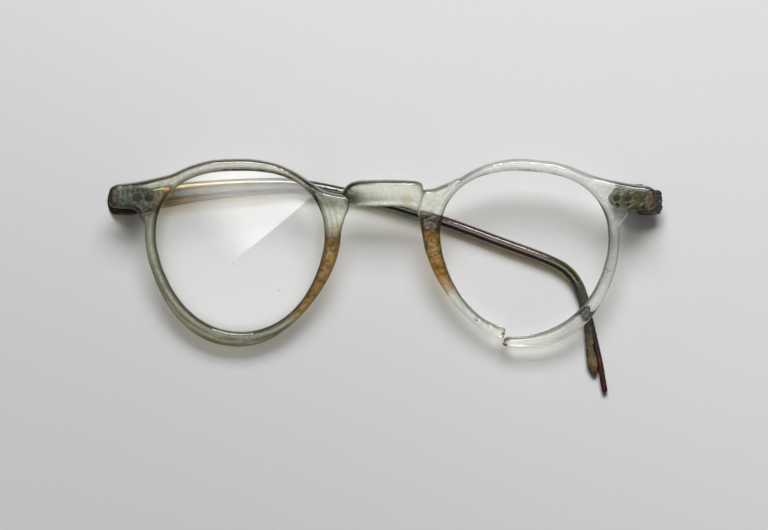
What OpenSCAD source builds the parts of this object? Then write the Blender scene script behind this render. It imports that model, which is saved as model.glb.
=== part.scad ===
// Broken eyeglasses lying face up: a translucent plastic front with one lens left and one rim
// snapped through, one whole temple folded under the front, and the stub of the other.
// +X runs to the wearer's left, +Y to the brow side, +Z up from the table.
// "Right" and "left" are the wearer's. The front has its own frame: u across, v up the face,
// w forward from its back face. A side of -1 is the wearer's right, +1 the wearer's left.

/* [Front] */
// Distance from the middle of the bridge to the middle of each lens opening
lens_offset = 32.25; // [31:0.25:34]
// Mean radius of a lens opening
opening_r = 19; // [18:0.1:20]
// Thickness of the front
front_t = 3.5; // [3.2:0.1:4]
// Distance from the middle of the bridge to the outer end of an endpiece
end_u = 62.2; // [61:0.1:64]
// Run of the bevel at an endpiece's outer end
mitre_run = 2.7; // [2:0.1:3.2]
// How far the snapped end of the left rim has sprung outwards
sprung_end = 1.45; // [1.4:0.05:1.8]
// How much thinner the left rim is worn beside its break
rim_wear = 1.3; // [1.2:0.05:1.6]

/* [Lens] */
// Thickness of the lens
lens_t = 2; // [1.5:0.1:2.2]
// Radius of the lens's curved faces
lens_curve = 110; // [80:5:200]
// Depth of the groove that holds a lens
groove_depth = 0.6; // [0.4:0.05:0.8]
// Width of the groove
groove_w = 1; // [0.8:0.05:1.2]

/* [Hinges] */
// Distance from the middle of the bridge to each hinge pin
pin_u = 58.2; // [58:0.05:58.4]
// Height of the middle of a hinge up the face
hinge_v = 11.4; // [11:0.1:12]
// Distance of the pin behind the back of the front
pin_back = 1.25; // [1.2:0.05:1.4]
// Distance from the pin to the temple's inner face
pin_to_temple = 1.3; // [1.2:0.05:1.4]
// Radius of a hinge barrel
barrel_r = 1.05; // [0.9:0.05:1.1]
// Radius of the hinge screw's shaft
screw_r = 0.5; // [0.4:0.02:0.6]
// Running clearance around the screw
screw_clearance = 0.05; // [0.02:0.01:0.1]
// Thickness of a hinge leaf
leaf_t = 0.6; // [0.4:0.05:0.7]
// Radius of a rivet's shank
rivet_r = 0.42; // [0.35:0.01:0.5]
// Radius of a rivet's head
rivet_head_r = 0.72; // [0.6:0.01:0.8]

/* [Temples] */
// Thickness of a temple beside its hinge
temple_t = 2.7; // [2.4:0.1:3]
// Width of a temple beside its hinge
temple_w = 6; // [5.6:0.1:6.4]
// Radius of the round part of the whole temple
temple_r = 1.25; // [1.1:0.05:1.3]
// Radius of the core wire
wire_r = 0.68; // [0.5:0.02:0.75]
// Clearance between the core wire and its sleeve
wire_clearance = 0.04; // [0.02:0.01:0.1]
// Angle by which the stub hangs open
stub_open = 21; // [0:1:26]

/* [Pose on the table] */
// Lean of the front, with its brow side high
front_lean = 10.4; // [8:0.05:12]
// Roll of the front, with its left side high
front_roll = 0.7; // [0:0.05:1]
// Height of the front's back face at the middle
front_z = 4.53; // [4:0.01:5]
// Shift along Y that brings the middle of the front face over its own frame's origin
front_y = 0.62; // [0:0.01:1]
// Distance from the bounding box's middle to the bridge, along X
centre_x = -0.64; // [-2:0.01:2]
// Distance from the bounding box's middle to the middle of the lenses, along Y
centre_y = 5.89; // [4:0.01:8]

/* [Hidden] */
round_fn = 48;
eps = 0.01;

right = -1;
left = 1;

// Angles around a lens start at its outer side and run over the brow side to the nose side.
rim_step = 5;
// The two ends of the snapped left rim: the sprung outer arm, and the arm on the nose side
break_outer_arm = -103;
break_nose_arm = 258;

temple_inner_w = -(pin_back + pin_to_temple);
temple_outer_w = temple_inner_w - temple_t;
temple_mid_w = temple_inner_w - temple_t / 2;
temple_v = 9.8;
barrel_gap = 0.08;
barrel_half = 0.72;
barrel_end = 2;
mitre_gap = 0.2;
rivet_v = 11.9;
front_rivet_inner_u = 52.9;
front_rivet_outer_u = 55.5;
temple_rivet_rear_u = 52.9;
temple_rivet_front_u = 55.4;
leaf_h = 4.4;
leaf_inner_u = 51.2;
bridge_front = front_t + 0.8;
bridge_back = 0.3;

// ---- Placing ----

module whole() {
    translate([centre_x, centre_y, 0]) children();
}

module front_frame_of_reference() {
    whole() translate([0, front_y, front_z]) rotate([front_lean, -front_roll, 0]) children();
}

// Everything on one side of the front is drawn for the wearer's left and mirrored for the right.
module on_side(side) {
    front_frame_of_reference() mirror([side < 0 ? 1 : 0, 0, 0]) children();
}

// The stub and its hinge leaf hang open about the pin.
module swung_open(angle) {
    translate([pin_u, 0, -pin_back]) rotate([0, -angle, 0]) translate([-pin_u, 0, pin_back]) children();
}

module along_v(u, w, v_low, v_high, r) {
    translate([u, v_high, w]) rotate([90, 0, 0]) cylinder(h = v_high - v_low, r = r, $fn = round_fn);
}

module along_w(u, v, w_low, w_high, r) {
    translate([u, v, w_low]) cylinder(h = w_high - w_low, r = r, $fn = round_fn);
}

// The same point of the front's frame, in the whole part's axes
function front_point(u, v, w) =
    let (y = v * cos(front_lean) - w * sin(front_lean),
         z = v * sin(front_lean) + w * cos(front_lean))
    [u * cos(front_roll) - z * sin(front_roll), y + front_y, u * sin(front_roll) + z * cos(front_roll) + front_z];

// ---- Rims ----

function bump(a, centre, width) = exp(-pow((a - centre) / width, 2));
function turned(a) = a < 0 ? a + 360 : a;

// Lens opening: nearly round, flatter on top and pulled out to the upper corners
function opening(a) = opening_r + 0.4 * sin(a) + 0.95 * sin(3 * a) + 0.1 * cos(2 * a) - 0.27 * cos(4 * a);

// Width of the plastic around it: heavy at the bottom and beside the nose, thin at the upper nose corner
function band(a) =
    let (b = turned(a))
    2.5 + 0.95 * bump(b, 285, 38) + 1.1 * bump(b, 178, 24) - 0.85 * bump(b, 132, 22) - 0.4 * bump(b, 230, 22);

function worn_band(a) = band(a) - rim_wear * bump(turned(a), 250, 32);

// The snapped rim has bent in near the brow and sprung out towards its free end.
function bend(a) =
    a > 95 ? 0 :
    a > 0 ? -0.6 * sin(180 * (95 - a) / 95) :
    0.5 * (1 - exp(a / 15)) + (a < -62 ? sprung_end * pow((-62 - a) / 41, 2) : 0);

function around(r, a) = [lens_offset + r * cos(a), r * sin(a)];

right_opening = [for (a = [0:rim_step:355]) around(opening(a), a)];
right_outer = [for (a = [0:rim_step:355]) around(opening(a) + band(a), a)];
right_groove = [for (a = [0:rim_step:355]) around(opening(a) + groove_depth, a)];
left_angles = [break_outer_arm, each [-100:rim_step:255], break_nose_arm];

module whole_rim() {
    difference() {
        polygon(right_outer);
        polygon(right_opening);
    }
}

module snapped_rim() {
    polygon([
        for (a = left_angles) around(opening(a) + bend(a) + worn_band(a), a),
        for (i = [len(left_angles) - 1:-1:0])
            let (a = left_angles[i]) around(opening(a) + bend(a), a)]);
}

module right_lens_groove() {
    difference() {
        polygon(right_groove);
        polygon([for (a = [0:rim_step:355]) around(opening(a) - 1, a)]);
    }
}

module left_lens_groove() {
    polygon([
        for (a = left_angles) around(opening(a) + bend(a) + groove_depth, a),
        for (i = [len(left_angles) - 1:-1:0])
            let (a = left_angles[i]) around(opening(a) + bend(a) - 0.2, a)]);
}

// ---- Endpieces, nose webs and bridge ----

// Brow edge of an endpiece, falling in one curve from the rim to the outer end
function brow_edge(u) = let (t = (62 - u) / 24) 14.4 + 2.3 * t + 3.4 * t * t;

module endpiece(droop) {
    polygon([
        for (u = [38:4:58]) [u, brow_edge(u) - droop],
        [61, 14.6 - droop],
        [62, 13.6 - droop],
        [end_u, 12 - droop],
        [62, 10.4 - droop],
        [61, 9.5 - droop],
        [57, 9.4 - droop],
        for (a = [22.5:22.5:90]) [57 - 1.8 * sin(a), 7.6 - droop + 1.8 * cos(a)],
        for (a = [12:9:75]) around(opening(a) + 1.2, a)]);
}

module right_nose_web() {
    polygon([[16.2, 14.9], [14.7, 13.9], [13.1, 13.2], [10.8, 12.5], [8, 12.2], [7.4, 9.3], [8.3, 7.8],
        [9, 5.5], [9.5, 3.2], [10.1, 0], [11.6, -0.5], [12.2, 5], [13.4, 10], [15.2, 13.4]]);
}

module left_nose_web() {
    polygon([[17.6, 16.3], [15.3, 15.2], [13.2, 14.3], [11.2, 13.5], [9, 13.6], [7.8, 9], [8.4, 7],
        [8.8, 4.6], [9.4, 1], [10.1, -1], [11.6, -1], [12.2, 5], [13.4, 10], [15.2, 13.4]]);
}

// The bridge stands a little proud of the front and stops in a rounded shoulder at each side.
module bridge_outline() {
    polygon([[-9.1, 12], [-8.7, 13.7], [-7.6, 15], [-5.5, 15.6], [-1.7, 15.8], [3, 15.8], [8.3, 15.5],
        [9.3, 14.6], [9.4, 12.5], [8.6, 9.3], [7.8, 8.6], [6.2, 9.5], [2.8, 10.1], [-4, 10.1],
        [-7, 9.6], [-8.6, 10.5]]);
}

module plate(w_low, w_high) {
    translate([0, 0, w_low]) linear_extrude(w_high - w_low) children();
}

// Cutting block beyond the bevelled outer end of an endpiece
module endpiece_mitre() {
    rotate([90, 0, 0]) translate([0, 0, -30]) linear_extrude(60)
        polygon([[end_u + mitre_run / front_t, front_t + 1], [end_u - 2 * mitre_run, -front_t],
            [end_u + 10, -front_t], [end_u + 10, front_t + 1]]);
}

module front_frame() {
    color([0.66, 0.68, 0.6, 0.8])
    front_frame_of_reference()
    difference() {
        union() {
            plate(0, front_t) union() {
                mirror([1, 0]) whole_rim();
                snapped_rim();
                mirror([1, 0]) endpiece(0);
                endpiece(0.4);
                mirror([1, 0]) right_nose_web();
                left_nose_web();
            }
            plate(bridge_back, bridge_front) bridge_outline();
        }
        plate(front_t / 2 - groove_w / 2, front_t / 2 + groove_w / 2) mirror([1, 0]) right_lens_groove();
        plate(front_t / 2 - groove_w / 2, front_t / 2 + groove_w / 2) left_lens_groove();
        for (side = [right, left]) mirror([side < 0 ? 1 : 0, 0, 0]) {
            endpiece_mitre();
            for (u = [front_rivet_inner_u, front_rivet_outer_u]) {
                along_w(u, rivet_v, -eps, front_t + eps, rivet_r + 0.02);
                along_w(u, rivet_v, front_t - 0.6, front_t + eps, rivet_head_r + 0.02);
            }
        }
    }
}

// ---- Lens ----

module right_lens() {
    centre_w = front_t / 2 - sqrt(lens_curve * lens_curve - opening_r * opening_r);
    color([0.85, 0.87, 0.86, 0.35])
    on_side(right)
    union() {
        intersection() {
            plate(-2, front_t + 4) polygon([for (a = [0:rim_step:355]) around(opening(a) - 0.03, a)]);
            translate([lens_offset, 0, centre_w]) difference() {
                sphere(r = lens_curve + lens_t / 2, $fn = 96);
                sphere(r = lens_curve - lens_t / 2, $fn = 96);
            }
        }
        plate(front_t / 2 - groove_w / 2 + 0.04, front_t / 2 + groove_w / 2 - 0.04) difference() {
            polygon([for (a = [0:rim_step:355]) around(opening(a) + groove_depth - 0.04, a)]);
            polygon([for (a = [0:rim_step:355]) around(opening(a) - 1, a)]);
        }
    }
}

// ---- Hinges ----

module leaf_plate(inner_u, outer_u, w_low) {
    r = leaf_h / 2 - 0.4;
    plate(w_low, w_low + leaf_t) union() {
        translate([inner_u + r, hinge_v]) circle(r = r, $fn = round_fn);
        translate([inner_u + r, hinge_v - leaf_h / 2]) square([outer_u - inner_u - r, leaf_h]);
        translate([inner_u + 0.8, hinge_v - r / 1.5]) square([r, 2 * r / 1.5]);
    }
}

// Fixed to the back of an endpiece, with the two outer barrels
module front_leaf_shape() {
    slot_u = pin_u - barrel_r - 0.2;
    slot_half = barrel_half + barrel_gap;
    difference() {
        union() {
            leaf_plate(leaf_inner_u, pin_u, -leaf_t);
            for (v = [hinge_v - barrel_end, hinge_v + slot_half])
                union() {
                    along_v(pin_u, -pin_back, v, v + barrel_end - slot_half, barrel_r);
                    translate([pin_u - barrel_r, v, -pin_back])
                        cube([2 * barrel_r - 0.3, barrel_end - slot_half, pin_back - eps]);
                }
        }
        translate([slot_u, hinge_v - slot_half, -5]) cube([10, 2 * slot_half, 10]);
        along_v(pin_u, -pin_back, hinge_v - 5, hinge_v + 5, screw_r + 0.02);
        for (u = [front_rivet_inner_u, front_rivet_outer_u])
            along_w(u, rivet_v, -5, 5, rivet_r + 0.02);
    }
}

// Fixed to the inner face of a temple, with the middle barrel
module temple_leaf_shape() {
    difference() {
        union() {
            leaf_plate(leaf_inner_u, pin_u - barrel_r - 0.2, temple_inner_w);
            translate([pin_u - barrel_r - 0.5, hinge_v - barrel_half, temple_inner_w])
                cube([barrel_r + 0.9, 2 * barrel_half, pin_to_temple - 0.3]);
            along_v(pin_u, -pin_back, hinge_v - barrel_half, hinge_v + barrel_half, barrel_r);
        }
        along_v(pin_u, -pin_back, hinge_v - 5, hinge_v + 5, screw_r + screw_clearance);
        for (u = [temple_rivet_rear_u, temple_rivet_front_u])
            along_w(u, rivet_v, -9, 0, rivet_r + 0.02);
    }
}

// The screw's head sits just past the edge of the front's leaf.
module hinge_screw_shape() {
    head_r = 0.95;
    head_h = 0.55;
    head_v = hinge_v + leaf_h / 2 + 0.05;
    difference() {
        union() {
            along_v(pin_u, -pin_back, hinge_v - barrel_end - 0.15, head_v + 0.1, screw_r);
            along_v(pin_u, -pin_back, head_v, head_v + head_h, head_r);
        }
        translate([pin_u - 2, head_v + head_h - 0.25, -pin_back - 0.12]) cube([4, 1, 0.24]);
    }
}

// A rivet's head is sunk in the plastic and its tail is peened flush with the leaf.
module front_rivet_shape(u) {
    union() {
        along_w(u, rivet_v, -leaf_t, front_t - 0.3, rivet_r);
        along_w(u, rivet_v, front_t - 0.58, front_t - 0.06, rivet_head_r);
    }
}

module temple_rivet_shape(u) {
    union() {
        along_w(u, rivet_v, temple_outer_w + 0.5, temple_inner_w + leaf_t, rivet_r);
        along_w(u, rivet_v, temple_outer_w + 0.06, temple_outer_w + 0.58, rivet_head_r);
    }
}

// Holes that a temple's plastic needs for its two rivets
module temple_rivet_holes() {
    for (u = [temple_rivet_rear_u, temple_rivet_front_u]) {
        along_w(u, rivet_v, temple_outer_w - 1, temple_inner_w + 1, rivet_r + 0.02);
        along_w(u, rivet_v, temple_outer_w - 1, temple_outer_w + 0.6, rivet_head_r + 0.02);
    }
}

// Cutting block beyond a temple's mitred butt, which meets the endpiece's bevel when it is open
module temple_mitre() {
    inner_u = pin_u + pin_back - mitre_gap;
    slope = (temple_outer_w - temple_inner_w) / front_t;
    rotate([90, 0, 0]) translate([0, 0, -30]) linear_extrude(60)
        polygon([[inner_u - 3, temple_inner_w - 3 * slope], [inner_u + 8, temple_inner_w + 8 * slope],
            [inner_u + 12, temple_inner_w + 8 * slope], [inner_u + 12, 3]]);
}

brass = [0.45, 0.47, 0.34];
dark_metal = [0.2, 0.19, 0.15];

module right_front_hinge_leaf() { color(brass) on_side(right) front_leaf_shape(); }
module right_front_rivet_inner() { color(dark_metal) on_side(right) front_rivet_shape(front_rivet_inner_u); }
module right_front_rivet_outer() { color(dark_metal) on_side(right) front_rivet_shape(front_rivet_outer_u); }
module right_hinge_screw() { color(dark_metal) on_side(right) hinge_screw_shape(); }
module right_temple_hinge_leaf() { color(brass) on_side(right) temple_leaf_shape(); }
module right_temple_rivet_front() { color(dark_metal) on_side(right) temple_rivet_shape(temple_rivet_front_u); }
module right_temple_rivet_rear() { color(dark_metal) on_side(right) temple_rivet_shape(temple_rivet_rear_u); }
module left_front_hinge_leaf() { color(brass) on_side(left) front_leaf_shape(); }
module left_front_rivet_inner() { color(dark_metal) on_side(left) front_rivet_shape(front_rivet_inner_u); }
module left_front_rivet_outer() { color(dark_metal) on_side(left) front_rivet_shape(front_rivet_outer_u); }
module left_hinge_screw() { color(dark_metal) on_side(left) hinge_screw_shape(); }
module left_temple_hinge_leaf() { color(brass) on_side(left) swung_open(stub_open) temple_leaf_shape(); }
module left_temple_rivet_front() {
    color(dark_metal) on_side(left) swung_open(stub_open) temple_rivet_shape(temple_rivet_front_u);
}
module left_temple_rivet_rear() {
    color(dark_metal) on_side(left) swung_open(stub_open) temple_rivet_shape(temple_rivet_rear_u);
}

// ---- Left temple: only a stub is left ----

module left_temple_stub() {
    v_low = temple_v - temple_w / 2;
    v_high = temple_v + temple_w / 2;
    color([0.2, 0.2, 0.2])
    on_side(left) swung_open(stub_open)
    difference() {
        plate(temple_outer_w, temple_inner_w) polygon([
            [54.3, v_low + 0.4], [55, v_low], [61.5, v_low], [62.6, v_low + 0.6], [63, v_low + 1.6],
            [63, v_high - 1.6], [62.6, v_high - 0.6], [61.5, v_high], [53, v_high], [52.3, v_high - 0.5],
            [52.5, 12], [51.9, 11.2], [52.6, 10.6], [53.5, 10.3], [53.2, 9.6], [54.1, 9.1], [53.7, 8.2]]);
        temple_mitre();
        temple_rivet_holes();
    }
}

// ---- Right temple: whole, warped, and decayed at its tail ----

function unit(p) = p / norm(p);

// A smooth curve through every station, which carries widths and twists along with the place
function blend(a, b, c, d, t) =
    0.5 * (2 * b + (c - a) * t + (2 * a - 5 * b + 4 * c - d) * t * t + (3 * b - a - 3 * c + d) * t * t * t);
function smooth(p, n) =
    let (last = len(p) - 1)
    [for (i = [0:last - 1]) for (k = [0:n - 1])
        blend(p[max(i - 1, 0)], p[i], p[i + 1], p[min(i + 2, last)], k / n), p[last]];

// One ring around a station [x, y, z, half width, half thickness, twist]
function ring(here, before, after, sides, squareness) =
    let (tangent = unit([for (k = [0:2]) after[k] - before[k]]),
         flat = unit(cross([0, 0, 1], tangent)),
         up = cross(tangent, flat),
         across = flat * cos(here[5]) + up * sin(here[5]),
         over = up * cos(here[5]) - flat * sin(here[5]))
    [for (j = [0:sides - 1])
        let (a = 360 * (j + 0.5) / sides,
             x = here[3] * sign(cos(a)) * pow(abs(cos(a)), squareness),
             y = here[4] * sign(sin(a)) * pow(abs(sin(a)), squareness))
        [here[0], here[1], here[2]] + across * x + over * y];

module sweep(stations, sides, squareness) {
    count = len(stations);
    rings = [for (i = [0:count - 1])
        ring(stations[i], stations[max(i - 1, 0)], stations[min(i + 1, count - 1)], sides, squareness)];
    polyhedron(
        points = [for (r = rings) each r],
        faces = [
            [for (j = [0:sides - 1]) j],
            for (i = [0:count - 2]) for (j = [0:sides - 1])
                let (k = (j + 1) % sides)
                each [[i * sides + j, (i + 1) * sides + j, (i + 1) * sides + k],
                    [i * sides + j, (i + 1) * sides + k, i * sides + k]],
            [for (j = [sides - 1:-1:0]) (count - 1) * sides + j]]);
}

function butt_station(u) =
    let (p = front_point(-u, temple_v, temple_mid_w))
    [p[0], p[1], p[2], temple_w / 2, temple_t / 2, front_lean];

// Places of the temple's middle line with half widths, half thicknesses and twists
sleeve_stations = [
    butt_station(64), butt_station(61), butt_station(57),
    [-49.5, 12.3, 1.62, 2.6, 1.3, 8],
    [-41.5, 13.4, 1.45, 2.3, 1.25, 4],
    [-30, 14.3, 1.3, 2.05, 1.25, 1],
    [-20, 14.5, 1.25, 1.75, 1.25, 0],
    [-8.5, 12.8, 1.25, 1.4, 1.25, 0],
    [3, 10, 1.25, temple_r, temple_r, 0],
    [15.3, 6, 1.25, temple_r, temple_r, 0],
    [27, 1.7, 1.25, temple_r, temple_r, 0],
    [38, -2.4, 1.25, temple_r, temple_r, 0],
    [42.4, -5.1, 1.25, 1.3, temple_r, 0],
    [45, -9, 1.2, 1.3, 1.18, 0],
    [46.4, -14.5, 1, 1.1, 0.95, 0],
    [47.1, -20, 0.93, 1, 0.9, 0],
    [47.3, -24, 0.92, 0.95, 0.9, 0],
    [47.6, -28.3, 0.94, 1, 0.92, 0]];

function wire_station(x, y, z) = [x, y, z, wire_r, wire_r, 0];
function channel_of(stations) = [for (s = stations)
    [s[0], s[1], s[2], s[3] + wire_clearance, s[4] + wire_clearance, s[5]]];

// The core wire leaves the middle of the sleeve where the sleeve has split, and ends in a bare tip.
wire_stations = [
    wire_station(-47, 12.7, 1.5),
    wire_station(-41.5, 13.4, 1.42),
    wire_station(-30, 14.3, 1.3),
    wire_station(-20, 14.5, 1.25),
    wire_station(-8.5, 12.8, 1.25),
    wire_station(3, 10, 1.25),
    wire_station(15.3, 6, 1.25),
    wire_station(27, 1.7, 1.25),
    wire_station(38, -2.4, 1.25),
    wire_station(42.4, -5.1, 1.25),
    wire_station(45, -9, 1.2),
    wire_station(47, -14.8, 1),
    wire_station(48.3, -20.2, 0.94),
    wire_station(49.4, -25, 0.92),
    [50.15, -29.3, 0.885, wire_r - 0.08, wire_r - 0.08, 0]];
tip_start = [50.1, -29, 0.9];
tip_end = [50.7, -32.5, 0.72];

module bare_tip() {
    run = tip_end - tip_start;
    translate(tip_start)
        rotate([0, acos(run[2] / norm(run)), atan2(run[1], run[0])])
            cylinder(h = norm(run), r = wire_r, $fn = round_fn);
}

module right_temple_core_wire() {
    color([0.24, 0.16, 0.15])
    whole() union() {
        sweep(smooth(wire_stations, 3), 12, 1);
        bare_tip();
    }
}

module right_temple_sleeve() {
    color([0.35, 0.29, 0.27])
    difference() {
        whole() sweep(smooth(sleeve_stations, 3), 16, 0.75);
        whole() sweep(smooth(channel_of(wire_stations), 3), 12, 1);
        on_side(right) temple_mitre();
        on_side(right) temple_rivet_holes();
    }
}

front_frame();
right_lens();
right_front_hinge_leaf();
right_front_rivet_inner();
right_front_rivet_outer();
right_hinge_screw();
right_temple_hinge_leaf();
right_temple_rivet_front();
right_temple_rivet_rear();
right_temple_sleeve();
right_temple_core_wire();
left_front_hinge_leaf();
left_front_rivet_inner();
left_front_rivet_outer();
left_hinge_screw();
left_temple_hinge_leaf();
left_temple_rivet_front();
left_temple_rivet_rear();
left_temple_stub();
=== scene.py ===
# %% [markdown]
# # Broken eyeglasses
# An old pair of round eyeglasses lies face up. Its front is clear plastic that has yellowed and
# stained. One lens is left, the other rim has snapped at the bottom, one temple is folded behind the
# front and the other is broken off short. The exact shapes and hinges come from the CAD model, which is
# loaded first. Blender then adds what CAD leaves out: soft moulded edges, rough breaks, grime and rust.

# %% Load the fixed frame
import math

import bmesh
import bpy
import numpy as np
from mathutils import Euler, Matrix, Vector


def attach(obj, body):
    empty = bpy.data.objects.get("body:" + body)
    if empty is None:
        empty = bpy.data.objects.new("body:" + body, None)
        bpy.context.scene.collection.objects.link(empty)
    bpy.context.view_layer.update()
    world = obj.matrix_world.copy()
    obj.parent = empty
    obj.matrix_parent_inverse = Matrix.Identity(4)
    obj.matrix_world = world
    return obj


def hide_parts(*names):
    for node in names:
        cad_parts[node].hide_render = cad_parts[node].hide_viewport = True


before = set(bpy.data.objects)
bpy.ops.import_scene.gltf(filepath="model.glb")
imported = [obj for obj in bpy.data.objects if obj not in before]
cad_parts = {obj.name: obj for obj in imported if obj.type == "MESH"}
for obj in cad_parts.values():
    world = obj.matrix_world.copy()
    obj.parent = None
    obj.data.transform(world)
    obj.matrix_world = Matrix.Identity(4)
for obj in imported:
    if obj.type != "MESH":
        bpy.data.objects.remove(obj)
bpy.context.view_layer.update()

MM = 0.001

# %% [markdown]
# ## Arithmetic on nodes
# A shader or geometry tree is a graph of nodes, and wiring every Math node by hand hides the formula.
# One small class wraps an output socket and gives it +, -, * and /, so a mask can be written as
# `1 - spot * 0.5`. The same class serves shader trees and geometry trees, because both use Math nodes.


# %% A socket that can be added and multiplied
class Signal:
    """An output socket of a node tree. Arithmetic on it adds Math nodes."""

    def __init__(self, graph, socket):
        self.graph, self.socket = graph, socket

    def out(self, name):
        """Another output of the same node."""
        return Signal(self.graph, self.socket.node.outputs[name])

    def math(self, operation, *others):
        values = dict(enumerate((self, *others)))
        return self.graph.node("ShaderNodeMath", {"operation": operation}, values)

    def vector(self, operation, other=None, out=0):
        values = {0: self} if other is None else {0: self, 1: other}
        return self.graph.node("ShaderNodeVectorMath", {"operation": operation}, values, out)

    def stretched(self, factor):
        """This vector times a number."""
        return self.graph.node("ShaderNodeVectorMath", {"operation": "SCALE"}, {0: self, "Scale": factor})

    def ramp(self, low, high, at_low=0.0, at_high=1.0):
        """Runs smoothly from at_low to at_high as this goes from low to high."""
        values = {0: self, 1: low, 2: high, 3: at_low, 4: at_high}
        return self.graph.node("ShaderNodeMapRange", {"interpolation_type": "SMOOTHSTEP"}, values)

    def __add__(self, other): return self.math("ADD", other)
    def __radd__(self, other): return self.math("ADD", other)
    def __sub__(self, other): return self.math("SUBTRACT", other)
    def __mul__(self, other): return self.math("MULTIPLY", other)
    def __rmul__(self, other): return self.math("MULTIPLY", other)
    def __truediv__(self, other): return self.math("DIVIDE", other)

    def __rsub__(self, other):
        return self.graph.node("ShaderNodeMath", {"operation": "SUBTRACT"}, {0: other, 1: self})

    def __rtruediv__(self, other):
        return self.graph.node("ShaderNodeMath", {"operation": "DIVIDE"}, {0: other, 1: self})


# %% One way to add any node
class Graph:
    """A node tree that is written as expressions."""

    def __init__(self, tree):
        self.tree = tree

    def node(self, kind, settings=None, sockets=None, out=0):
        """Adds a node: its settings first, then the values or links of its sockets."""
        node = self.tree.nodes.new(kind)
        for name, value in (settings or {}).items():
            setattr(node, name, value)
        for name, value in (sockets or {}).items():
            if isinstance(value, Signal):
                self.tree.links.new(value.socket, node.inputs[name])
            else:
                node.inputs[name].default_value = value
        return Signal(self, node.outputs[out]) if len(node.outputs) else node


# %% [markdown]
# ## Materials as expressions
# Every finish here is procedural: it is worked out from where a point lies on the object, with no
# painted image. `Finish` starts a material and gives the two places that patterns are measured in, the
# whole object and the tilted face of the front, both in millimetres. Stains are soft spots in chosen
# places, broken up with noise, which is how real stains gather.

# %% The tilt of the front on the table
# The hinges and the folded temple prop up its brow side. Its origin, in millimetres, is the middle of
# its back, level with the centres of the lenses.
LEAN = math.radians(10.4)
ROLL = math.radians(0.7)
FRONT_ORIGIN = Vector((-0.64, 6.51, 4.53))
FRONT_TURN = Euler((LEAN, -ROLL, 0.0))


# %% A material that knows where it is
def colour(red, green, blue):
    """A colour as a painter names it, from 0 to 255, as the linear light that shaders use."""
    light = [((c / 255 + 0.055) / 1.055) ** 2.4 for c in (red, green, blue)]
    return (*light, 1.0)


class Finish(Graph):
    """A material's node tree, with helpers for patterns."""

    def __init__(self, name):
        self.material = bpy.data.materials.new(name)
        self.material.use_nodes = True
        super().__init__(self.material.node_tree)
        self.tree.nodes.clear()
        place = self.node("ShaderNodeTexCoord", out="Object")
        self.mm = place.stretched(1 / MM)
        self.on_front = self.turned(place, FRONT_ORIGIN * MM, FRONT_TURN, (MM, MM, MM))

    def turned(self, vector, centre, turn, size):
        """The vector as seen from a frame with that centre, turn and size."""
        values = {"Vector": vector, "Location": centre, "Rotation": turn, "Scale": size}
        return self.node("ShaderNodeMapping", {"vector_type": "TEXTURE"}, values)

    def parts(self, vector):
        split = self.node("ShaderNodeSeparateXYZ", sockets={0: vector})
        return split, split.out("Y"), split.out("Z")

    def noise(self, vector, size, detail=3.0, rough=0.55, distortion=0.0):
        """Noise from 0 to 1 with lumps about that many millimetres across."""
        values = {"Vector": vector, "Scale": 1 / size, "Detail": detail, "Roughness": rough,
                  "Distortion": distortion}
        return self.node("ShaderNodeTexNoise", sockets=values)

    def spot(self, vector, centre, size, turn=0.0, soft=0.0):
        """1 at the centre of an ellipse, falling to 0 at its edge."""
        placed = self.turned(vector, centre, (0, 0, math.radians(turn)), size)
        return placed.vector("LENGTH", out=1).ramp(soft, 1.0, 1.0, 0.0)

    def painted(self, under, *coats):
        """A colour with coats over it. Each coat says where it covers, from 0 to 1, and its colour."""
        for cover, coat in coats:
            under, coat = (colour(*c) if isinstance(c, tuple) else c for c in (under, coat))
            values = {0: cover, 6: under, 7: coat}
            under = self.node("ShaderNodeMix", {"data_type": "RGBA"}, values, out=2)
        return under

    def carried(self, name):
        """A mask that the mesh carries on its points."""
        return self.node("ShaderNodeAttribute", {"attribute_name": name}, out="Fac")

    def bump(self, height, depth, strength=1.0):
        """A normal roughened by a height from 0 to 1, that many millimetres deep."""
        values = {"Height": height, "Distance": depth * MM, "Strength": strength}
        return self.node("ShaderNodeBump", sockets=values)

    def done(self, values, lets_light_through=None):
        """Ends the material in a Principled shader. Glass also gets a see-through side for its shadow."""
        surface = self.node("ShaderNodeBsdfPrincipled", sockets=values)
        if lets_light_through:
            path = self.node("ShaderNodeLightPath", out="Is Shadow Ray")
            clear = self.node("ShaderNodeBsdfTransparent", sockets={0: (*lets_light_through, 1.0)})
            surface = self.node("ShaderNodeMixShader", sockets={0: path, 1: surface, 2: clear})
        self.node("ShaderNodeOutputMaterial", sockets={"Surface": surface})
        print("finish", self.material.name, "has", len(self.tree.nodes), "nodes")
        return self.material


# %% [markdown]
# ## Camera, table and light
# The glasses are seen from straight above. The camera stands more than a metre off with a long lens,
# so near and far parts keep the same scale. The table is pale paper with a faint tooth. The light is
# one soft window beyond the brow side, which throws the short shadows, and a large panel overhead whose
# slanted edge shows as a wedge of light in the lens. Clear things need something to reflect.
#
# Each lamp keeps to its own job. The panel only shows in shiny surfaces and brightens nothing dull. The
# window isn't seen through the plastic or the lens, because its light already passes their see-through
# sides (see the next chapters) and would count twice.

# %% Camera
camera = bpy.data.objects.new("camera", bpy.data.cameras.new("camera"))
bpy.context.scene.collection.objects.link(camera)
camera.location = Vector((-0.32, 2.48, 1200.0)) * MM
camera.data.sensor_width = 36.0
view_width = 174.545 * MM
eye_to_rims = camera.location.z - 4.0 * MM
camera.data.lens = camera.data.sensor_width * eye_to_rims / view_width
camera.data.clip_end = 10.0
bpy.context.scene.camera = camera
print("focal length in mm:", round(camera.data.lens, 1))

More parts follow.
